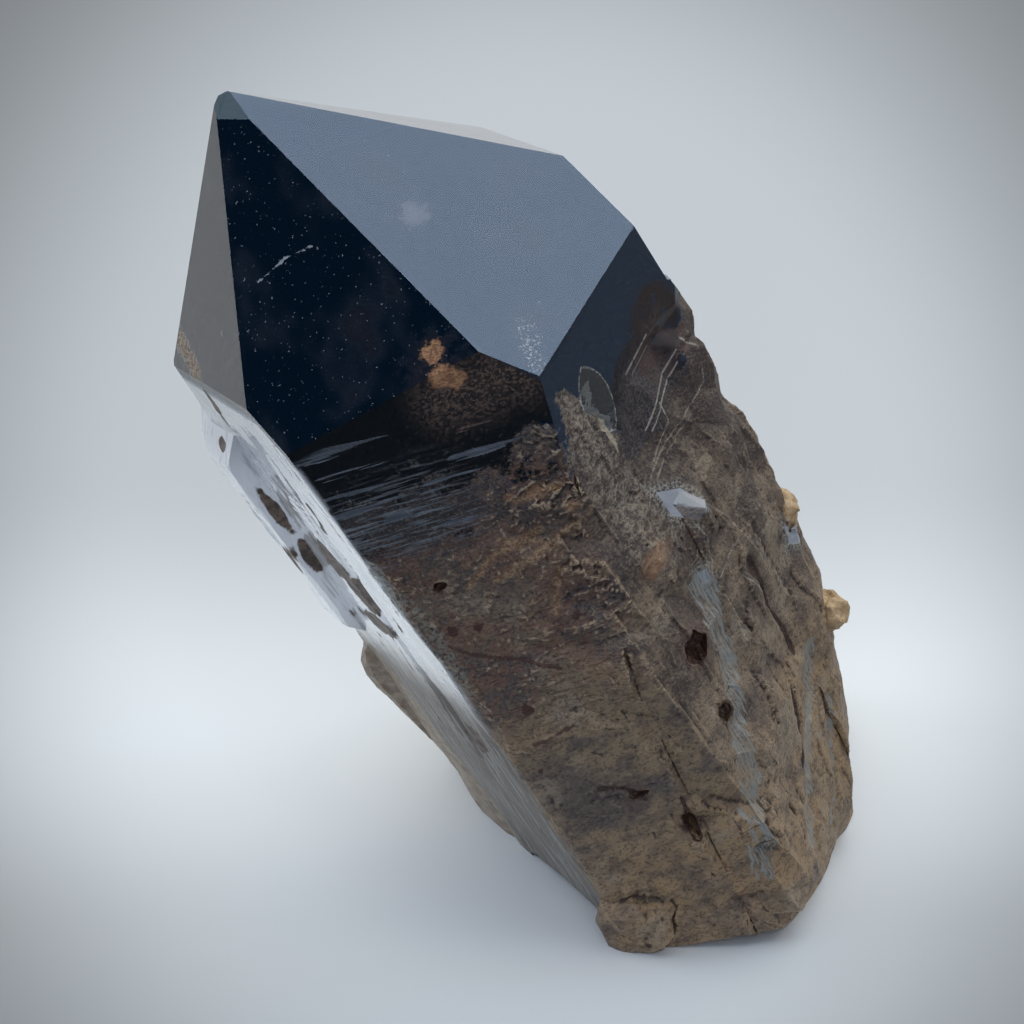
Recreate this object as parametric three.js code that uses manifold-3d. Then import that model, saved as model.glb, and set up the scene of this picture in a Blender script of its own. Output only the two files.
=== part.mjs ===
// Smoky quartz cluster: one stout smoky quartz point, leaning, with lower crystals grown together
// with it and a broken, crusted root cut flat where it stands. Two grains of tan feldspar sit in
// its right edge. Millimetres, +Z up, origin at the middle of the box's bottom.
import * as THREE from "three";
import { ConvexGeometry } from "three/addons/geometries/ConvexGeometry.js";
import { mergeVertices } from "three/addons/utils/BufferGeometryUtils.js";
import { ImprovedNoise } from "three/addons/math/ImprovedNoise.js";
import Module from "manifold-3d";

const wasm = await Module();
wasm.setup();

// How the crystal stands: its long axis leans from the vertical, towards a heading seen from
// above, and it is turned about its own axis. Degrees.
const LEAN = 32.55;
const HEADING = 190.4;
const SPIN = 17.6;
const AXIS_HEIGHT = 70.3; // height of the crystal frame's origin above the floor

// Every face is given by its azimuth round the crystal's axis, the rise of its normal towards the
// tip, and its distance from the crystal frame's origin. Azimuth 0 is the left prism face, 60 the
// front one, 120 the right one. Quartz's rhombohedral faces all rise by the same angle.
const RHOMB_RISE = 38.21;
const TIP_FACES = [
  [0, RHOMB_RISE, 34.3],
  [60, RHOMB_RISE, 25.95],
  [120, RHOMB_RISE, 25.0],
  [181.2, 41.1, 34.0],
  [240, RHOMB_RISE, 39.2],
  [300, RHOMB_RISE, 40.6],
  [66.9, 46.7, 31.45], // a small facet across the very tip
];
const PRISM_FACES = [
  [0, 3, 27.0],
  [60, 12, 23.0],
  [60, 0, 30.5],
  [120, -7.9, 22.2],
  [180, 0, 27.6],
  [180, -7, 28.4],
  [240, -4, 33.0],
  [300, 4, 35.0],
];
// The thicker lower growth under the right face, with a ridge down its right side.
const RIGHT_GROWTH = [
  [0, 0, 25.0],
  [60, 12, 22.0],
  [60, 0, 29.5],
  [121, -2, 22.0],
  [133, -13.5, 29.5],
  [180, -1.2, 24.0],
  [240, -4, 8.0],
  [300, 4, 10.0],
];
// A shoulder high on the right flank, broken off below, and two small crystals further down. Each
// of those has its own pyramid face parallel to the large one.
const SHOULDER = [
  [0, 0, 10.0],
  [60, 0, 15.0],
  [120, -7.9, 22.15],
  [180, 1, 29.0],
  [240, 0, 20.0],
  [300, 0, 10.0],
  [180, 45, 19.8],
  [180, -45, 26.9],
];
const FLANK_CRYSTAL = [
  [0, 0, 20.0],
  [60, 0, 1.0],
  [120, -7.9, 23.4],
  [180, -1.2, 27.9],
  [240, 0, 10.0],
  [120, RHOMB_RISE, 11.5],
  [180, RHOMB_RISE, 15.5],
];
const RIDGE_CRYSTAL = [
  [0, 0, 20.0],
  [60, 4, 11.5],
  [120, -3, 24.4],
  [180, 0, 13.0],
  [240, 0, 10.0],
  [60, RHOMB_RISE, 4.5],
  [120, RHOMB_RISE, 4.2],
  [120, -35, 34.0],
];
// A flat crystal grown along the left face near its back edge, and a lump of crust below it.
const LEFT_GROWTH = [
  [0, 1, 29.6],
  [330, 4, 38.5],
  [300, 4, 38.5],
  [240, 0, 14.0],
  [180, 0, -10.0],
  [60, 0, -1.0],
  [0, RHOMB_RISE, 28.5],
  [0, -40, 36.5],
];
const LEFT_LUMP = [
  [0, -4, 34.2],
  [330, -6, 43.0],
  [300, -4, 43.0],
  [240, 0, 16.0],
  [180, 0, -10.0],
  [60, 0, -6.0],
  [330, 50, 2.0],
];
// Two smaller crystals grown against the back.
const BACK_CRYSTAL = [
  [0, 0, 14.0],
  [60, 0, -10.0],
  [120, -3, 16.0],
  [180, 2, 28.0],
  [240, 2, 41.0],
  [300, 2, 30.0],
  [120, RHOMB_RISE, 6.0],
  [180, RHOMB_RISE, 16.0],
  [240, RHOMB_RISE, 24.0],
  [300, RHOMB_RISE, 20.0],
];
const SMALL_BACK_CRYSTAL = [
  [0, 0, 25.0],
  [60, 0, -12.0],
  [120, 0, -2.0],
  [180, 0, 12.0],
  [240, 3, 38.0],
  [300, 5, 41.0],
  [240, RHOMB_RISE, 13.0],
  [300, RHOMB_RISE, 12.0],
  [0, RHOMB_RISE, 10.0],
];
const GROWTHS = [
  PRISM_FACES,
  RIGHT_GROWTH,
  SHOULDER,
  FLANK_CRYSTAL,
  RIDGE_CRYSTAL,
  LEFT_GROWTH,
  LEFT_LUMP,
  BACK_CRYSTAL,
  SMALL_BACK_CRYSTAL,
];
const REACH = 110; // how far each growth would run down past the origin, before it is broken off
const FAR = 200; // well outside the whole piece

// Where the root is broken off, as it stands: azimuth from +X, rise, and distance from the point
// on the floor under the crystal frame's origin.
const BROKEN_FACES = [
  [7.6, 22.8, 59.1],
  [1, 11, 53.7],
  [-2, 6.6, 52.2],
  [-16.6, -18.2, 44.5],
  [-21.7, -25.4, 41.1],
  [52, -9, 64],
  [100, -14, 48],
];

// Holes in the crust: where they are in the crystal's frame, how far across round the axis, along
// it, and how deep.
const PITS = [
  { at: [1.3, 24.9, -35.4], size: [3.8, 4.2, 5.5] },
  { at: [3.4, 25.6, -45.3], size: [1.9, 2.2, 2.6] },
  { at: [16.0, 25.0, -54.8], size: [1.3, 4.6, 2.2] },
  { at: [19.0, 24.2, -46.4], size: [3.0, 0.9, 1.2] },
  { at: [22.0, 16.4, -7.9], size: [2.4, 1.3, 1.6] },
];

// As it stands, in millimetres from the point on the floor under the crystal frame's origin:
// the rounded lump it stands on in front, the hollows under the root, and the feldspar grains.
const FOOT = { at: [21.6, -20.8, 4.2], radii: [5.6, 5.2, 5.8], seed: 3 };
const ROOT_HOLLOWS = [
  { at: [12, -8, 0], radii: [8, 11, 2.3], seed: 41 },
  { at: [35, -20, 0], radii: [9, 7, 1.6], seed: 47 },
  { at: [26, 6, 0], radii: [12, 9, 3.0], seed: 53 },
  { at: [18, 26, 0], radii: [9, 12, 2.4], seed: 59 },
];
const GRAINS = [
  { name: "feldspar_nub", at: [47.2, 12.5, 32.7], radii: [3.6, 3.2, 2.7], seed: 11 },
  { name: "feldspar_grain", at: [40.6, 11.5, 48.0], radii: [2.7, 3.2, 3.5], seed: 29 },
];
const GRAIN_GAP = 0.3; // between a grain and the pocket it sits in
const LUMP_DETAIL = 2;
const LUMP_UNEVENNESS = 0.35; // of a lump's radii

// The crust has eaten into the faces below the pyramid. Depths are measured from the pyramid.
const CRUST_START = 2.5;
const CRUST_FULL = 11;
const ETCH_DEPTH = 0.5; // how far the crust lies behind the faces, on average
const LUMP_RELIEF = 1.7;
const LUMPS = { span: [12, 12, 8], from: [0, 0, 0] };
const KNOBS = { span: [5.5, 5.5, 4.5], from: [7, 0, 0] };
const KNOB_SHARE = 0.5; // of the lumps' relief
const LEDGE_PITCH = 8.5;
const LEDGE_HEIGHT = 0.8;
const LEDGE_RUN = 0.8; // share of the pitch over which a ledge rises, before it drops back
const LEDGE_DRIFT = { span: [18, 18, 18], from: [0, 0, 5] };
const LEDGE_WANDER = 1.4; // in ledge pitches
// The left face is left mostly clean, with streaks etched along it.
const STREAKS = { span: [3, 4.5, 22], from: [0, 3, 0] };
const STREAK_RELIEF = 1.6;
const STREAK_LEVEL = -0.25;
const LEFT_FACE_EDGE = 0.62; // cosine of the azimuth where the streaks start to take over
const LEFT_FACE_MIDDLE = 0.86;
const CLEAR = 3; // how far outside the clean faces the crust's shell passes
const SHELL_COLUMNS = 54;
const SHELL_ROWS = 34;
const SHELL_TOP = 23; // level of its first row: above it the shell stands clear of the pyramid
const SHELL_RIM = 48;
const SHELL_RIM_TOP = 60;
const SHELL_PEAK = 70;
const SHELL_TAIL = 3; // how far its last row passes below the floor

const toRadians = THREE.MathUtils.degToRad;
const noise = new ImprovedNoise();

function standingMatrix() {
  const matrix = new THREE.Matrix4().makeTranslation(0, 0, AXIS_HEIGHT);
  matrix.multiply(new THREE.Matrix4().makeRotationZ(toRadians(HEADING)));
  matrix.multiply(new THREE.Matrix4().makeRotationY(toRadians(LEAN)));
  return matrix.multiply(new THREE.Matrix4().makeRotationZ(toRadians(SPIN)));
}

function facePlane([azimuth, rise, distance]) {
  const level = Math.cos(toRadians(rise));
  const normal = new THREE.Vector3(
    level * Math.cos(toRadians(azimuth)),
    level * Math.sin(toRadians(azimuth)),
    Math.sin(toRadians(rise)),
  );
  return new THREE.Plane(normal, -distance);
}

// The point where three planes meet, or null if two of them are parallel.
function meet(first, second, third) {
  const cross = new THREE.Vector3().crossVectors(second.normal, third.normal);
  const volume = first.normal.dot(cross);
  if (Math.abs(volume) < 1e-7) return null;
  const point = cross.multiplyScalar(-first.constant);
  point.addScaledVector(new THREE.Vector3().crossVectors(third.normal, first.normal), -second.constant);
  point.addScaledVector(new THREE.Vector3().crossVectors(first.normal, second.normal), -third.constant);
  return point.divideScalar(volume);
}

function cornersBehind(planes) {
  const corners = [];
  for (let i = 0; i < planes.length; i += 1) {
    for (let j = i + 1; j < planes.length; j += 1) {
      for (let k = j + 1; k < planes.length; k += 1) {
        const corner = meet(planes[i], planes[j], planes[k]);
        if (corner && planes.every((plane) => plane.distanceToPoint(corner) < 1e-6)) corners.push(corner);
      }
    }
  }
  return corners;
}

function solidFromGeometry(geometry) {
  const bare = geometry.clone();
  bare.deleteAttribute("normal");
  bare.deleteAttribute("uv");
  const merged = mergeVertices(bare, 1e-5);
  return new wasm.Manifold(new wasm.Mesh({
    numProp: 3,
    vertProperties: new Float32Array(merged.getAttribute("position").array),
    triVerts: new Uint32Array(merged.getIndex().array),
  }));
}

function geometryFromSolid(solid) {
  const { vertProperties, triVerts } = solid.getMesh();
  const geometry = new THREE.BufferGeometry();
  geometry.setAttribute("position", new THREE.BufferAttribute(new Float32Array(vertProperties), 3));
  geometry.setIndex(new THREE.BufferAttribute(new Uint32Array(triVerts), 1));
  return geometry;
}

function growth(faces) {
  const planes = [...faces, [0, -90, REACH]].map(facePlane);
  return solidFromGeometry(new ConvexGeometry(cornersBehind(planes)));
}

// The room inside the broken faces, as the crystal stands. It runs well below the floor.
function unbrokenRoom() {
  const walls = [[0, 90, FAR], [0, -90, FAR], [180, 0, FAR], [90, 0, FAR], [-90, 0, FAR]];
  return solidFromGeometry(new ConvexGeometry(cornersBehind([...BROKEN_FACES, ...walls].map(facePlane))));
}

function floorBlock() {
  const block = new THREE.BoxGeometry(2 * FAR, 2 * FAR, FAR);
  return solidFromGeometry(block.translate(0, 0, -FAR / 2));
}

const pyramidPlanes = TIP_FACES.map(facePlane);
const standing = standingMatrix();
const lying = standing.clone().invert();
const brokenPlanes = BROKEN_FACES.map((face) => facePlane(face).applyMatrix4(lying));
const growthPlanes = GROWTHS.map((faces) => [...TIP_FACES, ...faces].map(facePlane).concat(brokenPlanes));

// How far a point lies behind the pyramid's faces.
function depthUnderPyramid(point) {
  return Math.min(...pyramidPlanes.map((plane) => -plane.distanceToPoint(point)));
}

// How far out from the axis the grown faces lie, at one level and in one direction round it.
function faceRadius(azimuth, level) {
  const [x, y] = [Math.cos(azimuth), Math.sin(azimuth)];
  let outermost = 0;
  for (const planes of growthPlanes) {
    let [inner, outer] = [0, Infinity];
    for (const { normal, constant } of planes) {
      const slope = normal.x * x + normal.y * y;
      const radius = -(constant + normal.z * level) / slope;
      if (slope > 0) outer = Math.min(outer, radius);
      else inner = Math.max(inner, radius);
    }
    if (inner < outer) outermost = Math.max(outermost, outer);
  }
  return outermost;
}

function noiseAt({ x, y, z }, { span, from }) {
  return noise.noise(x / span[0] + from[0], y / span[1] + from[1], z / span[2] + from[2]);
}

// How deep the crust has eaten in. Where it is below nothing, the face itself is left standing.
function etching(point, azimuth) {
  const lumps = noiseAt(point, LUMPS) + KNOB_SHARE * noiseAt(point, KNOBS);
  const drift = LEDGE_WANDER * noiseAt(point, LEDGE_DRIFT);
  const step = THREE.MathUtils.euclideanModulo(point.z / LEDGE_PITCH + drift, 1);
  const rise = step < LEDGE_RUN ? step / LEDGE_RUN : (1 - step) / (1 - LEDGE_RUN);
  const crust = ETCH_DEPTH + LUMP_RELIEF * lumps + LEDGE_HEIGHT * (rise - 0.5);
  const streaks = STREAK_LEVEL + STREAK_RELIEF * noiseAt(point, STREAKS);
  const leftness = THREE.MathUtils.smoothstep(Math.cos(azimuth), LEFT_FACE_EDGE, LEFT_FACE_MIDDLE);
  return THREE.MathUtils.lerp(crust, streaks, leftness);
}

function shellPoint(azimuth, level) {
  const radius = faceRadius(azimuth, level);
  const point = new THREE.Vector3(radius * Math.cos(azimuth), radius * Math.sin(azimuth), level);
  const crusted = THREE.MathUtils.smoothstep(depthUnderPyramid(point), CRUST_START, CRUST_FULL);
  const shellRadius = radius + CLEAR * (1 - crusted) - etching(point, azimuth) * crusted;
  return point.set(shellRadius * Math.cos(azimuth), shellRadius * Math.sin(azimuth), level);
}

// The level at which a line down the side meets the floor.
function floorLevel(azimuth) {
  const point = new THREE.Vector3();
  let level = -REACH / 2;
  for (let pass = 0; pass < 12; pass += 1) {
    const radius = faceRadius(azimuth, level);
    point.set(radius * Math.cos(azimuth), radius * Math.sin(azimuth), level).applyMatrix4(standing);
    level -= point.z;
  }
  return level;
}

// A closed shell round the axis: it clears the pyramid, and carries the crust below it.
function crustShell() {
  const points = [new THREE.Vector3(0, 0, SHELL_PEAK)];
  const bottoms = [];
  for (let column = 0; column < SHELL_COLUMNS; column += 1) {
    bottoms.push(floorLevel((2 * Math.PI * column) / SHELL_COLUMNS) - SHELL_TAIL);
  }
  const ring = (pointAt) => {
    for (let column = 0; column < SHELL_COLUMNS; column += 1) {
      points.push(pointAt((2 * Math.PI * column) / SHELL_COLUMNS, column));
    }
  };
  const rim = (level) => (azimuth) => new THREE.Vector3(SHELL_RIM, 0, level)
    .applyAxisAngle(new THREE.Vector3(0, 0, 1), azimuth);
  ring(rim(SHELL_RIM_TOP));
  ring(rim(SHELL_TOP + CLEAR));
  for (let row = 0; row <= SHELL_ROWS; row += 1) {
    ring((azimuth, column) => shellPoint(azimuth, THREE.MathUtils.lerp(SHELL_TOP, bottoms[column], row / SHELL_ROWS)));
  }
  points.push(new THREE.Vector3(0, 0, -REACH));
  const triangles = [];
  const rings = SHELL_ROWS + 3;
  for (let column = 0; column < SHELL_COLUMNS; column += 1) {
    const next = (column + 1) % SHELL_COLUMNS;
    triangles.push(0, 1 + column, 1 + next);
    for (let row = 0; row + 1 < rings; row += 1) {
      const upper = 1 + row * SHELL_COLUMNS;
      const lower = upper + SHELL_COLUMNS;
      triangles.push(upper + column, lower + column, lower + next);
      triangles.push(upper + column, lower + next, upper + next);
    }
    const last = 1 + (rings - 1) * SHELL_COLUMNS;
    triangles.push(points.length - 1, last + next, last + column);
  }
  const geometry = new THREE.BufferGeometry().setFromPoints(points);
  return solidFromGeometry(geometry.setIndex(triangles));
}

function grownSolid() {
  let grown = null;
  for (const faces of GROWTHS) {
    const unit = growth([...TIP_FACES, ...faces]);
    grown = grown ? grown.add(unit) : unit;
  }
  return grown.intersect(unbrokenRoom().transform(lying.elements));
}

// A rounded lump with flattish sides. gap makes it larger all round.
function lump({ at, radii, seed }, gap = 0) {
  const geometry = new THREE.IcosahedronGeometry(1, LUMP_DETAIL);
  const position = geometry.getAttribute("position");
  const point = new THREE.Vector3();
  for (let i = 0; i < position.count; i += 1) {
    point.fromBufferAttribute(position, i);
    const relief = 1 + LUMP_UNEVENNESS * noise.noise(point.x * 1.6 + seed, point.y * 1.6, point.z * 1.6);
    position.setXYZ(i, ...["x", "y", "z"].map((axis, k) => point[axis] * (radii[k] * relief + gap)));
  }
  return solidFromGeometry(geometry.translate(...at));
}

// A hole in the crust: an irregular pocket pushed in towards the axis.
function pit({ at, size }) {
  const [across, along, depth] = size;
  const solid = lump({ at: [0, 0, 0], radii: [depth, across / 2, along / 2], seed: at[2] });
  const turn = new THREE.Matrix4().makeRotationZ(Math.atan2(at[1], at[0]));
  return solid.transform(turn.setPosition(...at).elements);
}

function quartzSolid() {
  let quartz = grownSolid().intersect(crustShell());
  for (const hole of PITS) quartz = quartz.subtract(pit(hole));
  quartz = quartz.transform(standing.elements).add(lump(FOOT));
  for (const hollow of ROOT_HOLLOWS) quartz = quartz.subtract(lump(hollow));
  for (const grain of GRAINS) quartz = quartz.subtract(lump(grain, GRAIN_GAP));
  return quartz.subtract(floorBlock());
}

function addPiece(group, name, solid, material) {
  const mesh = new THREE.Mesh(geometryFromSolid(solid), material);
  mesh.name = name;
  group.add(mesh);
}

const root = new THREE.Group();
const smokyQuartz = new THREE.MeshStandardMaterial({ color: 0x2a2723, roughness: 0.35, metalness: 0 });
const feldspar = new THREE.MeshStandardMaterial({ color: 0x9a7a55, roughness: 0.8, metalness: 0 });
addPiece(root, "smoky_quartz_crystal", quartzSolid(), smokyQuartz);
for (const grain of GRAINS) addPiece(root, grain.name, lump(grain), feldspar);

// the origin is the middle of the box's bottom
const middle = new THREE.Box3().setFromObject(root).getCenter(new THREE.Vector3());
root.position.set(-middle.x, -middle.y, 0);

export default root;
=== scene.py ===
from functools import cache
from math import cos, floor, pi, radians, sin

import bmesh
import bpy
from mathutils import Matrix, Vector, noise


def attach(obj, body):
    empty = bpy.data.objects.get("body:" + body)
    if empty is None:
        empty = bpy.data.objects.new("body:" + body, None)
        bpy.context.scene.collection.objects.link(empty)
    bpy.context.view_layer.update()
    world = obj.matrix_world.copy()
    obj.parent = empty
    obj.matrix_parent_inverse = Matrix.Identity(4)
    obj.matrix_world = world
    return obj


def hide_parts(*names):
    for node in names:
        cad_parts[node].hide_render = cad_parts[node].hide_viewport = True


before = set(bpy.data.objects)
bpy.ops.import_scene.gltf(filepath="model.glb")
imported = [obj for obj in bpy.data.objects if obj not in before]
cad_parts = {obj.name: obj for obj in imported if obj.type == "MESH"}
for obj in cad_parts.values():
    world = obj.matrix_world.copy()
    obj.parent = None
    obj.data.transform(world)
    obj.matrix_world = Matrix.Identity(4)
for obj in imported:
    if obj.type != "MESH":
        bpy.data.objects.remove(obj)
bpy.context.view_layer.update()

# The quartz: one smoky quartz point with smaller crystals grown into its flank and back, and a
# broken root. The pyramid's faces are clean and mirror flat. Below them the faces are lined
# across, then eaten into and crusted over in brown, with chips, pits and silky pale bands.
MM = 0.001
CRYSTAL_ORIGIN = Vector((-6.28, -12.44, 70.3)) * MM
CRYSTAL_TURN = (
    Matrix.Rotation(radians(190.4), 4, "Z")
    @ Matrix.Rotation(radians(32.55), 4, "Y")
    @ Matrix.Rotation(radians(17.6), 4, "Z")
)
CRYSTAL = Matrix.Translation(CRYSTAL_ORIGIN) @ CRYSTAL_TURN @ Matrix.Scale(MM, 4)
# Places on the crystal are in its own frame, in millimetres, with Z along it to the tip.
# Faces are azimuth round that axis, rise towards the tip, and distance.
PYRAMID = [
    (0, 38.21, 34.3),
    (60, 38.21, 25.95),
    (120, 38.21, 25.0),
    (181.2, 41.1, 34.0),
    (240, 38.21, 39.2),
    (300, 38.21, 40.6),
]
LEFT_FACE = (0, 3)
FRONT_FACE = (60, 6)
RIGHT_FACE = (120, -7.9)
# directions across the front and the right face
ACROSS_FRONT = Vector((-0.866, 0.5, 0))
ACROSS_RIGHT = Vector((-0.866, -0.5, 0))
# holes in the crust, with the radius that is dark inside
PITS = [
    ((1.3, 24.0, -35.4), 2.7),
    ((3.4, 24.8, -45.3), 1.5),
    ((16.0, 24.4, -54.8), 1.6),
    ((19.0, 24.0, -46.4), 1.1),
    ((22.0, 15.9, -7.9), 1.0),
]
# silky bands down the right flank, each in a shallow furrow, with their half width
UPPER_BAND = [
    (-5.4, 20.6, -31.5), (-3.5, 21.4, -37.9), (-2.0, 21.6, -42.0), (0.8, 23.9, -46.0),
    (3.7, 25.4, -50.3), (6.1, 26.1, -55.3), (9.6, 27.7, -60.8), (11.8, 26.7, -67.1),
]
LOWER_BAND = [
    (-15.8, 8.7, -57.3), (-11.5, 9.6, -61.7), (-7.1, 13.9, -63.6), (-2.9, 16.5, -67.6),
    (2.5, 19.8, -73.1),
]
EDGE_BAND = [(-13.4, 8.1, -66.1), (-8.5, 9.6, -72.9), (-2.9, 11.9, -78.5)]
BANDS = [(UPPER_BAND, 2.7), (LOWER_BAND, 1.9), (EDGE_BAND, 1.1)]
# dark grooves, with their half width and depth
GROOVES = [
    ([(-13.8, 15.4, -36.6), (-13.6, 14.0, -41.7), (-13.3, 12.3, -49.1), (-13.1, 10.7, -54.6)], 1.1, 1.0),
    ([(-8.3, 15.2, -56.4), (-7.2, 15.4, -59.1), (-5.3, 15.8, -63.1), (-2.9, 16.6, -66.3)], 0.7, 0.6),
    ([(22.5, 22.2, -43.0), (20.1, 23.6, -44.7), (18.9, 24.3, -47.5)], 0.5, 0.4),
    ([(15.3, 26.0, -50.2), (15.8, 24.7, -55.1), (16.7, 25.1, -57.0)], 0.5, 0.5),
    ([(-16.5, 14.0, -30.0), (-17.5, 12.0, -40.0)], 0.6, 0.5),
]
# where the front and right faces meet, the quartz is shattered and paler
SHATTERED = [
    (-3.0, 25.1, 6.2), (-3.5, 23.9, 0.5), (-3.0, 23.6, -6.4), (-2.8, 22.8, -10.7), (-2.6, 22.9, -19.0),
]
# the middle of the largest flat facet on the right face, across the face and along the crystal
LARGE_FACET = Vector((-1.2, -20.8))
# facets meet in a sharp edge where they turn more than this
SHARP_TURN = radians(24)


def face_normal(azimuth, rise):
    level = cos(radians(rise))
    return Vector((level * cos(radians(azimuth)), level * sin(radians(azimuth)), sin(radians(rise))))


def depth_under_pyramid(point):
    return min(distance - face_normal(azimuth, rise).dot(point) for azimuth, rise, distance in PYRAMID)


def smoothstep(value, low, high):
    share = min(1, max(0, (value - low) / (high - low)))
    return share * share * (3 - 2 * share)


def distance_to_path(point, path):
    nearest = 1000
    for first, last in zip(path, path[1:]):
        start = Vector(first)
        along = Vector(last) - start
        share = min(1, max(0, (point - start).dot(along) / along.length_squared))
        nearest = min(nearest, (point - start - along * share).length)
    return nearest


MERGE_REACH = 1e-7
MOST_HALVINGS = 7


def merged_copy(name):
    """A closed copy of a CAD node's mesh, in its own bmesh."""
    shape = bmesh.new()
    shape.from_mesh(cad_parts[name].data)
    bmesh.ops.remove_doubles(shape, verts=shape.verts, dist=MERGE_REACH)
    return shape


def split_long_edges(shape, longest_at):
    """Halves edges until none is longer than longest_at says for its middle."""
    for _ in range(MOST_HALVINGS):
        long = [
            edge
            for edge in shape.edges
            if edge.calc_length() > longest_at((edge.verts[0].co + edge.verts[1].co) / 2)
        ]
        if not long:
            return
        bmesh.ops.subdivide_edges(shape, edges=long, cuts=1)
        bmesh.ops.triangulate(shape, faces=[face for face in shape.faces if len(face.verts) > 3])


# The tilts of the chips are a seeded draw, so that every run gives the same stone.
CHIP_SEED = 5
noise.seed_set(CHIP_SEED)


def uneven(point, sizes, seed=0):
    """Smooth noise from about -1 to 1, with lumps of the given sizes."""
    return noise.noise(Vector((point.x / sizes[0] + seed, point.y / sizes[1], point.z / sizes[2])))


def chipped(point, sizes, seed):
    """Height of a surface broken into small flat facets, each with a tilt of its own."""
    place = Vector([point[i] / sizes[i] for i in range(3)])
    centre = noise.voronoi(place)[1][0]
    tilt = noise.noise_vector(centre * 3.7 + Vector((seed, 0, 0)))
    return tilt.dot(place - centre) + 0.5 * noise.noise(centre * 5.1)


quartz_mesh = merged_copy("smoky_quartz_crystal")
FLAT_ENOUGH = radians(0.4)
bmesh.ops.dissolve_limit(
    quartz_mesh, angle_limit=FLAT_ENOUGH, verts=quartz_mesh.verts, edges=quartz_mesh.edges
)
bmesh.ops.triangulate(quartz_mesh, faces=quartz_mesh.faces, quad_method="BEAUTY", ngon_method="BEAUTY")
to_crystal = CRYSTAL.inverted()
turn_back = CRYSTAL_TURN.to_3x3().inverted()
# the pyramid's faces are clean down to this depth
CLEAN_DEPTH = 0.4
# the longest edges that the mesh keeps: not split, on the jumble, the front, the left and the back
UNSPLIT = 1
JUMBLE_DETAIL = 0.6 * MM
FRONT_DETAIL = 0.75 * MM
LEFT_DETAIL = 1.2 * MM
BACK_DETAIL = 1.7 * MM
BACK_STARTS = 4 * MM
CUT_BASE_TOP = 0.05 * MM


def longest_edge(middle):
    point = to_crystal @ middle
    if depth_under_pyramid(point) < CLEAN_DEPTH or middle.z < CUT_BASE_TOP:
        return UNSPLIT
    if point.x > 24 and point.y < 10:
        return LEFT_DETAIL
    if point.x < 14 and point.y > 19 and -26 < point.z < 8:
        return JUMBLE_DETAIL
    return FRONT_DETAIL if middle.y < BACK_STARTS else BACK_DETAIL


split_long_edges(quartz_mesh, longest_edge)
quartz_mesh.normal_update()
LAYERS = ("depth", "crust", "right", "left", "silk", "dark", "shatter", "tone", "convex")
layers = {name: quartz_mesh.verts.layers.float.new(name) for name in LAYERS}


def left_share(point, normal, depth):
    """1 on the left face, and 0 off it."""
    edge = 12 + 0.3 * min(14, max(0, -point.z))
    facing = smoothstep(face_normal(*LEFT_FACE).dot(normal), 0.7, 0.9)
    corner = smoothstep(5 - point.y, 0, 3) * smoothstep(point.x, 14, 20)
    return max(facing * smoothstep(edge - point.y, 0, 2), corner) * smoothstep(depth, 0.3, 1.5)


def bands_and_grooves(point):
    """How silky and how dark a place is, and how deep the furrow there."""
    silk = furrow = dark = 0
    for path, width in BANDS:
        reach = distance_to_path(point, path) + 0.9 * uneven(point, (2, 2, 5), 5)
        silk = max(silk, 1 - smoothstep(reach, 0.3 * width, 1.2 * width))
        furrow = max(furrow, 0.7 * (1 - smoothstep(reach, 0, 1.6 * width)))
    for path, width, deep in GROOVES:
        reach = distance_to_path(point, path) + 0.3 * uneven(point, (1, 1, 2), 7)
        dark = max(dark, 1 - smoothstep(reach, 0.4 * width, width))
        furrow = max(furrow, deep * (1 - smoothstep(reach, 0, 1.6 * width)))
    return silk, dark, furrow


def face_lines(point):
    """Shallow saw-toothed lines across the faces, in patches."""
    wander = 0.8 * uneven(point, (9, 9, 9)) + 0.3 * uneven(point, (3, 3, 3))
    level = point.z - 0.17 * point.x + 0.1 * point.y
    patch = smoothstep(uneven(point, (5, 5, 5), 3), -0.25, 0.3)
    return LINE_DEPTH * ((level / LINE_SPACING + wander) % 1) * patch


def front_relief(point):
    """Ledges and chips where the front is jumbled, and a worn surface above and below that."""
    jumble = smoothstep(point.z, -32, -18) * smoothstep(14 - point.x, 0, 14) * smoothstep(point.y, -6, 4)
    ledges = LEDGE_HEIGHT * floor(4 * uneven(point, (9, 9, 3.2), 6) + 0.5)
    chips = 1.4 * chipped(point, (3.6, 3.6, 2.2), 1) + 0.75 * chipped(point, (1.6, 1.6, 1.0), 5)
    worn = 0.28 * uneven(point, (4, 4, 3), 4) + 0.2 * chipped(point, (2.4, 2.4, 1.4), 5)
    return (ledges + chips) * (0.2 + 0.8 * jumble) + worn * (1 - jumble)


def right_relief(point):
    """Long splinters down the right flank, stronger lower down."""
    splinters = 0.6 * chipped(point, (3.2, 3.2, 14.0), 9) + 0.25 * chipped(point, (1.3, 1.3, 7.0), 4)
    waves = 0.2 * uneven(point, (3, 3, 20), 1) + 0.12 * chipped(point, (1.8, 1.8, 1.8), 3)
    return (splinters + waves - SPLINTER_SINK) * (0.35 + 0.65 * smoothstep(-point.z, 8, 30))


LINE_DEPTH = 0.10
LINE_SPACING = 1.2
LEDGE_HEIGHT = 0.18
SPLINTER_SINK = 0.25
SHATTER_HEIGHT = 0.6
EDGE_WEAR = 1.4
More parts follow.
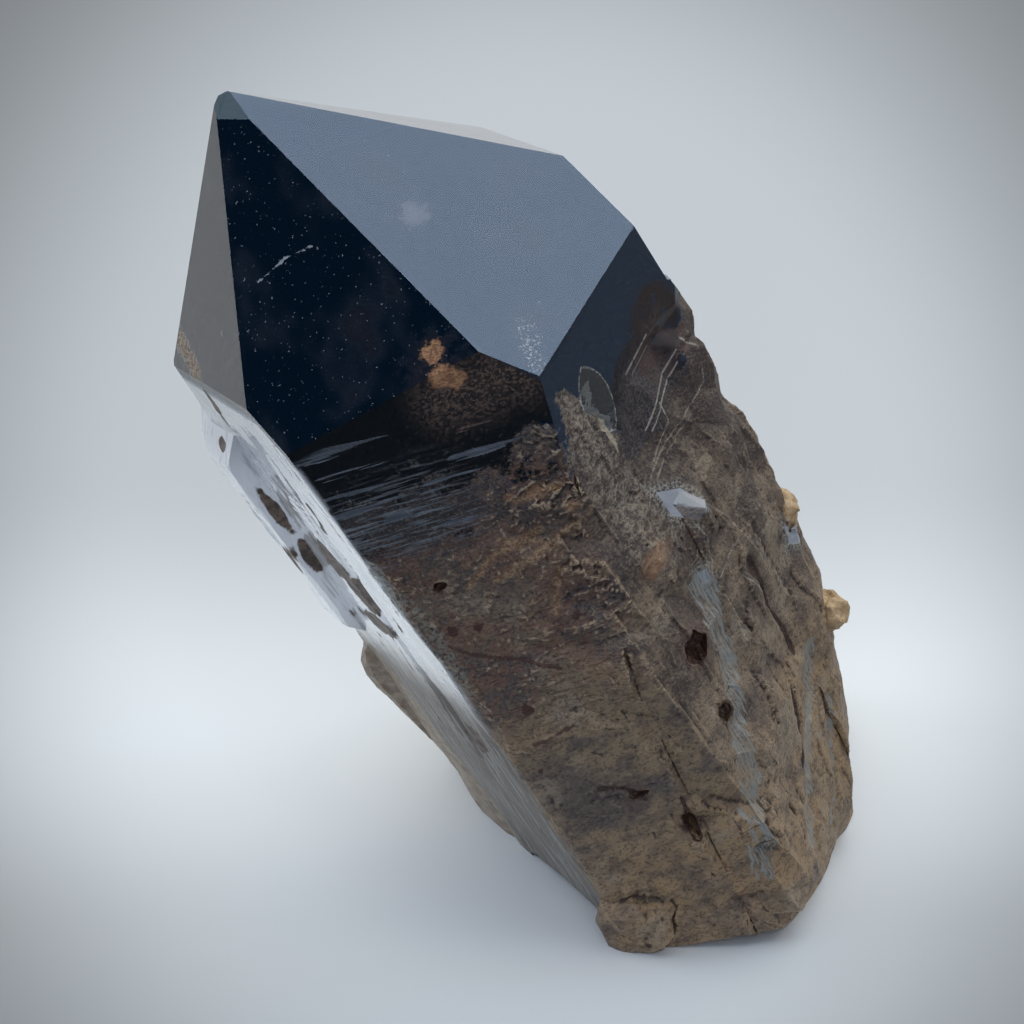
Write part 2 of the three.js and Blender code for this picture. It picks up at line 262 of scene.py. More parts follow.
# bands, grooves and the flat facet are all on this side of the crystal
MARKED_SIDE = 5
facing_right = face_normal(*RIGHT_FACE) - face_normal(*FRONT_FACE)
moves = []
for vert in quartz_mesh.verts:
    point = to_crystal @ vert.co
    normal = turn_back @ vert.normal
    depth = depth_under_pyramid(point)
    right = smoothstep(facing_right.dot(normal), -0.25, 0.25) * smoothstep(point.y, -2, 4)
    left = left_share(point, normal, depth)
    sideways = ACROSS_RIGHT.dot(point)
    tone = uneven(point, (8, 8, 6), 2) + 0.5 * uneven(point, (3, 3, 2), 8)
    # the crust starts close under the pyramid on the left, and lower on the right face
    start = 4.5 - 0.1 * max(0, point.x - 4)
    front_crust = smoothstep(depth + 4 * tone, start, start + 5)
    right_crust = smoothstep(0.3 * max(0, sideways - 6) - 6 - point.z + 4 * tone, 0, 6)
    beyond_edge = right * smoothstep(sideways, -6, -1)
    crust = (front_crust + (right_crust - front_crust) * beyond_edge) * (1 - 0.75 * left)
    shatter = 1 - smoothstep(distance_to_path(point, SHATTERED) + 2.5 * tone, 0, min(8, 1 + 0.55 * depth))
    shatter *= smoothstep(depth, 1, 5)
    crust = max(crust, min(1, 1.6 * shatter))
    silk = furrow = dark = flat = 0
    if point.y > MARKED_SIDE:
        silk, dark, furrow = bands_and_grooves(point)
        flat = smoothstep((Vector((sideways, point.z)) - LARGE_FACET).length, 6.5, 3.5)
    rough = front_relief(point) * (1 - right) + right_relief(point) * right
    rough = rough * (1 - shatter) + SHATTER_HEIGHT * chipped(point, (1.5, 1.5, 2.2), 12) * shatter
    rough = rough * (1 - 0.6 * silk) * (1 - 0.9 * flat) - furrow
    # the edge between the front and right faces is worn
    rough -= EDGE_WEAR * right * (1 - right) * (0.5 + uneven(point, (2.5, 2.5, 3), 11))
    lines = face_lines(point) * smoothstep(depth, 1, 4) * (1 - 0.6 * crust) * (1 - right)
    streaks = 0.22 * uneven(point, (3, 4, 9), 1) + 0.10 * chipped(point, (3, 4, 6), 2)
    height = lines + crust * crust * rough + left * streaks * smoothstep(depth, 1, 5) * (1 - crust)
    # the cut base stays flat
    height *= smoothstep(vert.co.z / MM, 0.1, 1.5)
    moves.append((vert, vert.normal * height * MM))
    for name, value in zip(LAYERS, (depth, crust, right, left, silk, dark, shatter, 0.5 + 0.7 * tone)):
        vert[layers[name]] = value
for vert, move in moves:
    vert.co += move
quartz_mesh.normal_update()
for vert in quartz_mesh.verts:
    bulge = sum((vert.co - edge.other_vert(vert).co).dot(vert.normal) for edge in vert.link_edges)
    vert[layers["convex"]] = bulge / len(vert.link_edges) / MM
# which of the quartz's finishes, listed below, each face has
PYRAMID_FINISH, FLANK_FINISH, CORNER_FINISH, LEFT_FINISH, CRUST_FINISH = range(5)
for face in quartz_mesh.faces:
    least = {name: min(vert[layers[name]] for vert in face.verts) for name in ("depth", "crust", "left")}
    most_left = max(vert[layers["left"]] for vert in face.verts)
    face.smooth = least["depth"] > CLEAN_DEPTH
    face.material_index = CORNER_FINISH if most_left > 0 else FLANK_FINISH
    if max(vert[layers["depth"]] for vert in face.verts) < CLEAN_DEPTH:
        face.material_index = PYRAMID_FINISH
    elif least["left"] > 0.97:
        face.material_index = LEFT_FINISH
    elif least["crust"] > 0.97 and most_left < 0.03:
        face.material_index = CRUST_FINISH
for edge in quartz_mesh.edges:
    edge.smooth = len(edge.link_faces) == 2 and edge.calc_face_angle(0) < SHARP_TURN
quartz_data = bpy.data.meshes.new("quartz")
quartz_mesh.to_mesh(quartz_data)
quartz_mesh.free()
quartz = bpy.data.objects.new("quartz", quartz_data)
bpy.context.scene.collection.objects.link(quartz)
print("quartz triangles", len(quartz_data.polygons))


class Wire:
    """A value in a material's nodes. Sums and products of wires add Math nodes."""

    def __init__(self, tree, socket=None):
        self.tree = tree
        self.socket = socket

    def add(self, kind, settings, inputs, output=0):
        node = self.tree.nodes.new("ShaderNode" + kind)
        for name, value in settings.items():
            setattr(node, name, value)
        for name, value in inputs.items():
            if isinstance(value, Wire):
                self.tree.links.new(value.socket, node.inputs[name])
            elif isinstance(value, tuple) and node.inputs[name].type == "RGBA":
                node.inputs[name].default_value = (*value, 1)
            else:
                node.inputs[name].default_value = value
        return Wire(self.tree, node.outputs[output] if node.outputs else None)

    def math(self, operation, *values):
        return self.add("Math", {"operation": operation}, dict(enumerate(values)))

    def __add__(self, other):
        return self.math("ADD", self, other)

    def __sub__(self, other):
        return self.math("SUBTRACT", self, other)

    def __mul__(self, other):
        return self.math("MULTIPLY", self, other)

    def __truediv__(self, other):
        return self.math("DIVIDE", self, other)

    def __rsub__(self, other):
        return self.math("SUBTRACT", other, self)

    __radd__ = __add__
    __rmul__ = __mul__

    def __abs__(self):
        return self.math("ABSOLUTE", self)

    def under(self, other):
        return self.math("MINIMUM", self, other)

    def over(self, other):
        return self.math("MAXIMUM", self, other)

    def rise(self, low, high):
        """0 below low, 1 above high, and smooth between them. low may be the larger one."""
        settings = {"interpolation_type": "SMOOTHSTEP"}
        return self.add("MapRange", settings, {"Value": self, "From Min": low, "From Max": high})

    def attribute(self, name):
        """A value kept at the mesh's points."""
        return self.add("Attribute", {"attribute_name": name}, {}, "Fac")

    def dot(self, direction):
        return self.add("VectorMath", {"operation": "DOT_PRODUCT"}, {0: self, 1: tuple(direction)}, "Value")

    def shift(self, offset):
        return self.add("VectorMath", {"operation": "ADD"}, {0: self, 1: tuple(offset)})

    def stretch(self, sizes):
        """The point in units of sizes, so that a texture's spots are about that large."""
        return self.add("VectorMath", {"operation": "DIVIDE"}, {0: self, 1: tuple(sizes)})

    def distance(self, point):
        return self.add("VectorMath", {"operation": "DISTANCE"}, {0: self, 1: tuple(point)}, "Value")

    def point(self, x, y, z):
        return self.add("CombineXYZ", {}, {0: x, 1: y, 2: z})

    def cloud(self, detail=3, roughness=0.5):
        inputs = {"Vector": self, "Scale": 1, "Detail": detail, "Roughness": roughness}
        return self.add("TexNoise", {}, inputs, "Fac")

    def mix(self, first, second):
        """From the first colour to the second as this wire goes from 0 to 1."""
        return self.add("Mix", {"data_type": "RGBA"}, {0: self, 6: first, 7: second}, 2)

    def near(self, start, end):
        """Distance from the point to the line between two points."""
        start, end = Vector(start), Vector(end)
        along = end - start
        share = (self.shift(-start).dot(along) / along.length_squared).under(1).over(0)
        reach = self.add("VectorMath", {"operation": "SCALE"}, {0: tuple(along), "Scale": share})
        foot = reach.shift(start)
        return self.add("VectorMath", {"operation": "DISTANCE"}, {0: self, 1: foot}, "Value")


def new_material(name):
    material = bpy.data.materials.new(name)
    material.use_nodes = True
    material.node_tree.nodes.clear()
    return material, Wire(material.node_tree)


def crystal_point(wire):
    """The place on the surface, in the crystal's own frame, in millimetres."""
    place = wire.add("TexCoord", {}, {}, "Object")
    inputs = {
        "Vector": place,
        "Location": CRYSTAL_ORIGIN,
        "Rotation": CRYSTAL_TURN.to_euler(),
        "Scale": (MM, MM, MM),
    }
    return wire.add("Mapping", {"vector_type": "TEXTURE"}, inputs)


def side_distance(place, corners):
    """How far inside a flat shape with straight sides a place is. Corners are (x, y)."""
    middle = Vector((sum(x for x, _ in corners), sum(y for _, y in corners))) / len(corners)
    inside = None
    for start, end in zip(corners, corners[1:] + corners[:1]):
        along = (Vector(end) - Vector(start)).normalized()
        inward = Vector((-along.y, along.x))
        if inward.dot(middle - Vector(start)) < 0:
            inward = -inward
        depth = place.dot((*inward, 0)) - inward.dot(Vector(start))
        inside = depth if inside is None else inside.under(depth)
    return inside


def line_distance(place, lines):
    """Distance to the nearest of some broken lines, each a list of points."""
    nearest = None
    for line in lines:
        for start, end in zip(line, line[1:]):
            reach = place.near(Vector(start).to_3d(), Vector(end).to_3d())
            nearest = reach if nearest is None else nearest.under(reach)
    return nearest


# the clear quartz: the smoke inside absorbs the light, and the density is per metre
SMOKE = (0.50, 0.38, 0.28)
SMOKE_DENSITY = 380
QUARTZ_IOR = 1.544
CLEAR_TINT = (0.93, 0.90, 0.86)
PYRAMID_ROUGHNESS = 0.012
FLANK_ROUGHNESS = 0.10
DUST_ROUGHNESS = 0.55
# crust colours
DEEP_BROWN = (0.022, 0.012, 0.009)
DARK_MAUVE = (0.042, 0.029, 0.030)
MAUVE_GREY = (0.080, 0.062, 0.059)
BROWN_GREY = (0.275, 0.195, 0.112)
PLUM = (0.038, 0.022, 0.018)
WARM_BROWN = (0.215, 0.155, 0.100)
TAN = (0.27, 0.195, 0.115)
PALE_TAN = (0.36, 0.31, 0.235)
RUST = (0.055, 0.016, 0.008)
RED_BROWN = (0.15, 0.072, 0.042)
SILVER = (0.235, 0.245, 0.225)
ROOT_TAN = (0.33, 0.215, 0.105)
DULL_PLUM = (0.075, 0.052, 0.048)
PALE_PATCH = (0.27, 0.215, 0.150)
PALE_CONVEX_EDGE = (0.40, 0.30, 0.195)
GRAINY_GREY = (0.33, 0.285, 0.22)
FROST_GREY = (0.22, 0.225, 0.18)
HALO_GREY = (0.30, 0.30, 0.265)
FACET_GREY = (0.30, 0.32, 0.345)
PIT_STAIN = (0.11, 0.062, 0.038)
INSIDE_BROWN = (0.10, 0.07, 0.05)
WHITE_DUST = (0.50, 0.54, 0.58)
# colours of the left face; its pale pearl is partly real frost and partly painted reflection
PEARL_AND_PAINTED_REFLECTION = (0.60, 0.625, 0.64)
BRIGHT_PEARL_AND_PAINTED_REFLECTION = (0.84, 0.86, 0.875)
LOW_FIBRE = (0.22, 0.190, 0.150)
DARK_FIBRE = (0.12, 0.090, 0.066)
BRIGHT_FIBRE = (0.40, 0.41, 0.38)
# colours on the clear faces and in the upper flanks
VEIL_BROWN = (0.30, 0.22, 0.18)
HAZE_BLUE = (0.034, 0.069, 0.126)
TINT_BROWN = (0.075, 0.038, 0.028)
LENS_GREY = (0.12, 0.12, 0.115)
LENS_LINE_GREY = (0.34, 0.33, 0.30)
HAIR_GREY = (0.32, 0.29, 0.24)
SLIVER_TAN = (0.34, 0.295, 0.215)
# pairs of colours that grit, patches or the side of the crystal mix
TAN_BLOT_PAIR = ((0.20, 0.085, 0.035), (0.42, 0.215, 0.095))
BLACK_GROUND_PAIR = ((0.012, 0.011, 0.013), (0.075, 0.056, 0.044))
PALE_LINE_PAIR = ((0.070, 0.078, 0.086), (0.165, 0.185, 0.205))
HOLLOW_PAIR = (DEEP_BROWN, (0.085, 0.034, 0.020))
RIDGE_PAIR = ((0.17, 0.085, 0.040), (0.38, 0.25, 0.13))
ORANGE_PAIR = ((0.22, 0.105, 0.05), (0.44, 0.265, 0.145))
LEFT_BROWN_PAIR = ((0.06, 0.038, 0.027), (0.17, 0.120, 0.085))
RIM_PAIR = ((0.24, 0.175, 0.12), (0.44, 0.36, 0.27))
LEFT_FROST_PAIR = ((0.09, 0.09, 0.075), (0.26, 0.28, 0.25))
TAN_PATCH_PAIR = ((0.13, 0.085, 0.055), (0.33, 0.26, 0.18))
STREAK_PAIR = ((0.055, 0.066, 0.080), (0.115, 0.135, 0.158))
FLECK_PAIR = ((0.16, 0.135, 0.11), (0.13, 0.14, 0.155))
DUST_PAIR = ((0.045, 0.027, 0.021), (0.135, 0.080, 0.054))
SHADE_PAIR = ((0.020, 0.016, 0.018), (0.085, 0.062, 0.054))
# Places on the front and right faces are across the face and along the crystal.
# rough streaks on the dark front face: start and end across it, level, half height
STREAKS = [
    (-19.5, -3.5, 11.6, 0.85), (-1.5, 14.5, 6.1, 0.55), (1.5, 9.5, 9.5, 0.28), (-13, -4, 0.5, 0.75),
    (-18, -3, 8.4, 0.25), (-19, -6, 5.4, 0.45), (-19, 0, 3.0, 0.40), (-6, 5, 3.8, 0.40), (-14, 5, -2.0, 0.3),
]
# spots: place across the face and along the crystal, and radius
RUST_SPOTS = [
    (-10.1, -27.7, 0.95), (-13.0, -13.9, 0.9), (-9.6, -15.0, 0.8), (2.2, -20.0, 0.7),
    (-13.4, -36.4, 0.6), (-11.3, -8.3, 0.6),
]
ORANGE_SPOTS = [(12.6, -22.0, 2.6), (6.9, -2.8, 1.3), (9.6, -6.8, 1.1), (3.4, -2.0, 1.0)]
EDGE_FROST = [[(-18.2, -1.0), (-16.6, -7.0), (-15.0, -14.5), (-15.8, -22.0)]]
CRACKS = [
    [(-16.1, -13.5), (-12.6, -17.7), (-7.2, -21.3), (-3.4, -24.9)],
    [(-12, -32.4), (-6, -32.6)],
]
FRONT_RIDGES = [
    [(-7.6, -9.7), (-2.5, -7.4), (1.5, -7.6), (5.0, -10.7)],
    [(3.4, -2.7), (6.9, -2.8), (9.9, -3.4)],
    [(11.4, -9.4), (6.0, -9.6), (1.2, -10.2), (-4.4, -10.5)],
    [(4.2, -7.7), (1.0, -8.1), (-0.8, -6.1)],
    [(3.7, -13.3), (0.1, -18.1)],
    [(-1.5, -57.3), (-1.2, -61.8), (-1.6, -69.2)],
]
UPPER_HAIRLINES = [
    [(14.0, -7.4), (10.0, -8.0), (1.6, -10.3)],
    [(13.0, -8.7), (7.0, -9.9), (2.2, -11.4)],
    [(16.1, -12.2), (15.4, -14.3), (9.8, -15.0), (4.2, -14.3), (-2.7, -15.1), (-6.1, -16.9)],
    [(10.5, -15.8), (3.6, -15.4), (-3.4, -16.2)],
    [(15.9, -7.0), (17.3, -9.8)],
    [(6.2, -9.8), (5.9, -12.7), (0.1, -14.4)],
    [(10.2, -1.5), (3.2, -2.1)],
    [(9.6, -2.8), (4.4, -3.2)],
]
LOWER_HAIRLINES = [
    [(2.4, -23.9), (4.9, -29.5), (5.9, -35.0), (7.7, -42.7)],
    [(-1.9, -23.0), (-1.7, -29.8), (-3.5, -32.1)],
    [(3.7, -32.4), (-2.4, -33.1)],
    [(-3.1, -27.2), (-7.1, -28.5)],
    [(1.7, -36.9), (4.3, -44.8), (5.5, -55.4)],
    [(-2.5, -37), (-4.7, -42.7)],
]
# the lens is where two discs overlap
LENS = [((-7.3, -0.2), 6.45), ((-1.5, -0.2), 5.6)]
SLIVER = [(-6.6, -0.1), (-4.6, -3.0), (-4.8, -6.3), (-5.5, -9.7), (-6.9, -5.4), (-6.7, -2.7)]
FACETS = [
    [(-3.7, -16.4), (0.6, -19.6), (1.8, -23.3), (-1.2, -24.2), (-3.9, -20.7)],
    [(-5.4, -29.5), (-3.7, -30.2), (-3.9, -32.2), (-5.3, -31.8)],
    [(15.9, -40.8), (19.0, -44.0), (17.8, -46.0), (14.8, -43.5)],
]
# tan blots: place, radius and how ragged
TAN_BLOTS = [
    ((6.3, 19.6, 15.9), 1.9, 1.1), ((5.3, 20.3, 15.0), 1.7, 1.1), ((5.2, 18.1, 18.7), 1.8, 1.2),
    ((20.5, 15.7, -1.4), 0.9, 0.5), ((24.9, 17.2, -18.3), 0.6, 0.35),
]
# brown patches on the left face, each with its half width across and along the crystal
LEFT_PATCHES = [
    ((27.4, -20.5, 10.9), (1.5, 0.8)), ((28.0, -17.4, -0.6), (0.6, 4.4)), ((28.5, -17.4, -9.0), (0.7, 3.6)),
    ((27.4, -8.0, -7.6), (4.8, 4.0)), ((27.6, -4.8, -11.6), (4.8, 3.6)), ((29.7, -20.6, -9.0), (1.0, 3.2)),
    ((27.9, -6.0, -17.8), (6.5, 2.0)), ((28.6, 4.5, -35.0), (3.0, 2.4)),
]
CLEAN_CORNER = [(-1.0, -16.5), (14.5, -14.5), (16.0, -23.5)]
LEFT_FROST_LINE = ((26.9, 11.5, -3.0), (26.5, 14.8, -14.5))
# marks on the clean pyramid
SCRATCH = [(14.1, -0.5, 33.5), (9.8, 1.3, 34.3), (6.5, 3.3, 34.1)]
SMUDGE = (-6.0, 6.4, 29.5)
BRUISE = ((-6.5, 21.0, 14.5), (-2.8, 24.6, 10.8))
TAN_PATCH = ((23.1, -22.5, 26.1), (25.3, -15.6, 23.3))
TAN_SPECK = (20.9, -6.5, 28.9)
HAZE = (5.8, 19.0, 17.0)
# the dusty edge under the front of the pyramid, and shaded and tinted places on the right flank
DUSTY_EDGE = ((7.5, 19.0, 13.0), (-1.2, 24.9, 12.0))
SHADE = (5.0, -8.5, 0)
TINT = (12.5, -3.0, 0)
# how far beyond its own size a mark may still colour the crust
SPOT_REACH = 2
RIDGE_REACH = 3.2
HAIR_REACH = 1.5
PIT_REACH = 3
FACET_REACH = 10.5


@cache
def front_marks_near(across, level):
    """Whether spots, and whether ridges or cracks, reach a place on the front face."""
    place = Vector((across, level))
    spots = any(
        (place - Vector((column, row))).length < radius + SPOT_REACH
        for column, row, radius in RUST_SPOTS + ORANGE_SPOTS
    )
    lines = FRONT_RIDGES + CRACKS + EDGE_FROST
    return spots, any(distance_to_path(place, line) < RIDGE_REACH for line in lines)


@cache
def right_marks_near(across, level):
    """Whether facets or hairlines reach a place on the right face."""
    place = Vector((across, level))
    lines = UPPER_HAIRLINES + LOWER_HAIRLINES
    facets = any((place - Vector(facet[0])).length < FACET_REACH for facet in FACETS)
    return facets or any(distance_to_path(place, line) < HAIR_REACH for line in lines)


def to_half(value):
    return round(2 * value) / 2


def marks_near(centre, right):
    """Which sides' marks, of those listed above, reach a place on the crust, to half a millimetre."""
    point = to_crystal @ centre
    level = to_half(point.z)
    spots, ridges = front_marks_near(to_half(ACROSS_FRONT.dot(point)), level)
    near_front = spots or (right < 1 and ridges)
    near_right = right > 0 and right_marks_near(to_half(ACROSS_RIGHT.dot(point)), level)
    near_right |= any((point - Vector(hollow)).length < radius + PIT_REACH for hollow, radius in PITS)
    return ("front",) * near_front + ("right",) * near_right


# the crust has a finish for each set of marks that meet on it, because marks slow a render
crust_marks = [()]
rightness = quartz_data.attributes["right"].data
for face in quartz_data.polygons:
    if face.material_index == CRUST_FINISH:
        marks = marks_near(face.center, sum(rightness[i].value for i in face.vertices) / 3)
        if marks not in crust_marks:
            crust_marks.append(marks)
        face.material_index = CRUST_FINISH + crust_marks.index(marks)


class Surface:
    """The places and patterns that the quartz's finishes share."""

    def __init__(self, name):
        self.material, self.wire = new_material(name)
        self.point = crystal_point(self.wire)
        self.level = self.point.dot((0, 0, 1))
        self.across = self.point.dot(ACROSS_FRONT)
        self.right_plane = self.wire.point(self.point.dot(ACROSS_RIGHT), self.level, 0)
        self.patches = self.point.stretch((1.7, 1.7, 1.2)).cloud(3, 0.6)
        self.grit = self.point.shift((31, 7, 3)).stretch((0.5, 0.5, 0.4)).cloud(2, 0.65)
        self.blot = 3.4 * (self.patches - 0.5) + 1.6 * (self.grit - 0.5)

    def rough_shader(self, colour, roughness, bumps, gloss=0):
        relief = {"Strength": 0.7, "Distance": 0.4 * MM, "Height": bumps}
        return self.wire.add(
            "BsdfPrincipled",
            {},
            {
                "Base Color": colour,
                "Roughness": roughness,
                "IOR": QUARTZ_IOR,
                "Coat Weight": gloss,
                "Normal": self.wire.add("Bump", {}, relief, "Normal"),
            },
        )

    def clear_shader(self, roughness):
        return self.wire.add(
            "BsdfPrincipled",
            {},
            {
                "Base Color": CLEAR_TINT,
                "Roughness": roughness,
                "IOR": QUARTZ_IOR,
                "Transmission Weight": 1.0,
            },
        )

    def finish(self, surface):
        """Gives the quartz this finish, as its next material, with smoke inside."""
        smoke = self.wire.add("VolumeAbsorption", {}, {"Color": SMOKE, "Density": SMOKE_DENSITY})
        self.wire.add("OutputMaterial", {}, {"Surface": surface, "Volume": smoke})
        quartz.data.materials.append(self.material)

    def finish_crusted(self, surface):
        """As finish, but from inside the crystal the crust is a plain dark brown."""
        inside = self.wire.add("NewGeometry", {}, {}, "Backfacing")
        dull = self.wire.add("BsdfDiffuse", {}, {"Color": INSIDE_BROWN})
        self.finish(self.wire.add("MixShader", {}, {0: inside, 1: surface, 2: dull}))

    def tan_blots(self):
        tan = None
        for centre, radius, ragged in TAN_BLOTS:
            spot = (self.point.distance(centre) + ragged * self.blot / 1.4).rise(radius, 0.7 * radius)
            tan = spot if tan is None else tan.over(spot)
        return tan

    def tan_colour(self):
        return (self.grit + 0.6 * self.patches).rise(0.62, 0.95).mix(*TAN_BLOT_PAIR)

    def crust_colour(self, marks):
        """The crust, with the marks of the sides that are named."""
        right = self.wire.attribute("right")
        colour = self.stained_ground(right)
        colour = self.front_lines(colour, right)
        if "front" in marks:
            colour = self.ridges(colour, 1 - right)
            colour = self.spots(colour, 1 - right)
        if "right" in marks:
            hair = self.hairlines(UPPER_HAIRLINES + LOWER_HAIRLINES) * right
            colour = (hair * (0.35 + 0.5 * self.grit.rise(0.4, 0.6))).mix(colour, PALE_TAN)
            colour = self.facets(colour, right)
        colour = self.silky_bands(colour)
        hollows = (self.wire.attribute("dark") + 0.4 * (self.patches - 0.5)).rise(0.35, 0.7)
        if "right" in marks:
            self.soft = self.soft.over(self.facet)
            colour, hollows = self.pits(colour, hollows)
        return hollows.mix(colour, self.grit.rise(0.4, 0.6).mix(*HOLLOW_PAIR))

    def stained_ground(self, right):
        """Stains and pale patches, paler convex edges, painted shade in the creases, and grains."""
        tone = self.wire.attribute("tone")
        shatter = self.wire.attribute("shatter")
        convex = self.wire.attribute("convex")
        patches, grit, level = self.patches, self.grit, self.level
        low = level.rise(6, -34)
        from_left = self.point.dot((0, 1, 0)).rise(-6, 4)
        jumble = level.rise(8, -2) * level.rise(-36, -22) * (1 - right) * from_left
        stains = self.point.shift((17, 5, 2)).stretch((12, 12, 8)).cloud(2, 0.6)
        stained = low * (0.15 + 0.85 * (stains + 0.3 * right).rise(0.42, 0.57))
        colour = stained.mix(low.mix(DARK_MAUVE, MAUVE_GREY), BROWN_GREY)
        side = (level.rise(-10, -60) + 3.2 * (stains - 0.5)).rise(0.2, 0.9).mix(PLUM, WARM_BROWN)
        colour = (right * 0.85).mix(colour, side)
        root = level.rise(-46, -62) * (0.35 + 0.5 * stains.rise(0.35, 0.6))
        colour = root.mix(colour, ROOT_TAN)
        colour = (tone.rise(0.35, 0.05) * 0.55 * low).mix(colour, DULL_PLUM)
        pale_patch = (tone + 1.1 * (patches - 0.5)).rise(0.60, 1.0) * (0.15 + 0.55 * low)
        colour = pale_patch.mix(colour, PALE_PATCH)
        colour = (patches.rise(0.52, 0.40) * 0.4).mix(colour, DARK_MAUVE)
        reddened = jumble * (1.2 * patches - 0.35 * tone).rise(0.36, 0.50) * 0.7
        colour = reddened.mix(colour, RED_BROWN)
        # convex edges are paler
        edges = (convex + 0.08 * (patches - 0.5)).rise(0.02, 0.10)
        colour = (edges * (0.25 + 0.65 * jumble)).mix(colour, PALE_CONVEX_EDGE)
        grainy = shatter * patches.rise(0.36, 0.56) * (0.35 + 0.65 * grit.rise(0.42, 0.60))
        colour = (grainy * 0.85).mix(colour, GRAINY_GREY)
        colour = (grit.rise(0.53, 0.64) * (0.28 + 0.04 * right + 0.2 * shatter)).mix(colour, TAN)
        colour = (grit.rise(0.47, 0.35) * 0.55).mix(colour, DEEP_BROWN)
        # painted shade: concave creases are darkened to deep brown
        painted_crease_shade = (convex + 0.10 * (patches - 0.5)).rise(-0.04, -0.13)
        return (painted_crease_shade * 0.8).mix(colour, DEEP_BROWN)

    def front_lines(self, colour, right):
        """Pale lines on black at the left of the front, and fine dark dashes lower down."""
        grit, level = self.grit, self.level
        self.slope_level = level + 0.2 * self.across
        self.lines = self.wire.point(self.across / 7, self.slope_level / 0.40, 0).cloud(2, 0.6)
        self.lined = self.slope_level.rise(-8, -1) * self.across.rise(4, -6) * (1 - right)
        colour = (self.lined * 0.9).mix(colour, grit.rise(0.52, 0.64).mix(*BLACK_GROUND_PAIR))
        pale_line = self.lines.rise(0.50, 0.66).mix(*PALE_LINE_PAIR)
        colour = (self.lines.rise(0.50, 0.54) * self.lined * 0.9).mix(colour, pale_line)
        dashes = self.wire.point(self.across / 1.7, self.slope_level / 0.36, 3).cloud(1)
        lower_down = level.rise(-10, -18) * level.rise(-36, -26)
        dashed = dashes.rise(0.43, 0.36) * (1 - right) * (0.2 + 0.4 * lower_down)
        return dashed.mix(colour, RUST)

    def ridges(self, colour, front_face):
        """Cracks, tan ridges and a frosty edge on the front."""
        front = self.wire.point(self.across, self.level, 0)
        crack = (line_distance(front, CRACKS) + 0.35 * self.blot).rise(0.35, 0.15) * 0.8
        colour = (crack * front_face).mix(colour, RUST)
        ridge = (line_distance(front, FRONT_RIDGES) + 0.55 * self.blot).rise(0.8, 0.1) * front_face
        colour = (ridge * 0.75).mix(colour, self.grit.rise(0.4, 0.6).mix(*RIDGE_PAIR))
        frost = (line_distance(front, EDGE_FROST) + 0.5 * self.blot).rise(1.8, 0.2)
        return (frost * self.grit.rise(0.40, 0.58) * front_face * 0.7).mix(colour, FROST_GREY)

    def spots(self, colour, front_face):
        """Rust spots, and larger orange ones with soft edges."""
        front = self.wire.point(self.across, self.level, 0)
        for across, height, radius in RUST_SPOTS:
            rust = (front.distance((across, height, 0)) + 0.4 * self.blot).rise(radius, 0.7 * radius)
            colour = (rust * front_face).mix(colour, RUST)
        for across, height, radius in ORANGE_SPOTS:
            reach = front.distance((across, height, 0)) + 0.8 * self.blot
            orange = reach.rise(radius, 0.4 * radius) * 0.75
            colour = orange.mix(colour, self.patches.rise(0.35, 0.65).mix(*ORANGE_PAIR))
        return colour

    def hairlines(self, lines):
        """Thin straight pale lines on the right flank, broken here and there."""
        reach = line_distance(self.right_plane, lines) + 0.05 * self.blot
        return reach.rise(0.20, 0.05) * self.patches.rise(0.36, 0.50)

    def facets(self, colour, right_face):
        """Flat pale facets with a frosty halo on the right flank."""
        facet = None
        for corners in FACETS:
            shape = side_distance(self.right_plane, corners)
            facet = shape if facet is None else facet.over(shape)
        halo = (facet + 0.3 * self.blot).rise(-1.8, 0) * self.grit.rise(0.40, 0.60) * right_face
        colour = (halo * 0.8).mix(colour, HALO_GREY)
        self.facet = (facet + 0.12 * self.blot).rise(0.0, 0.15) * right_face
        return self.facet.mix(colour, FACET_GREY)

    def silky_bands(self, colour):
        """Pale silky bands down the right flank, in strands."""
        slant = self.right_plane.dot((3.0, -0.3, 0)) + 2.2 * self.patches
        strands = self.wire.point(slant, 0, self.level * 0.25).cloud(1, 0.6)
        frayed = self.wire.attribute("silk") + 0.9 * (self.patches - 0.5) + 1.4 * (strands - 0.5)
        silk = frayed.rise(0.42, 0.72)
        self.soft = silk * 0.5
        return (silk * (0.1 + 0.9 * strands.rise(0.45, 0.58))).mix(colour, SILVER)

    def pits(self, colour, hollows):
        """Dark pits with a brown stain round them."""
        stained = None
        for centre, radius in PITS:
            reach = self.point.distance(centre) + 1.8 * (self.patches - 0.5) + 0.6 * (self.grit - 0.5)
            hollows = hollows.over(reach.rise(radius, radius - 0.5))
            stain = reach.rise(radius + 1.6, radius)
            stained = stain if stained is None else stained.over(stain)
        return (stained * 0.5).mix(colour, PIT_STAIN), hollows

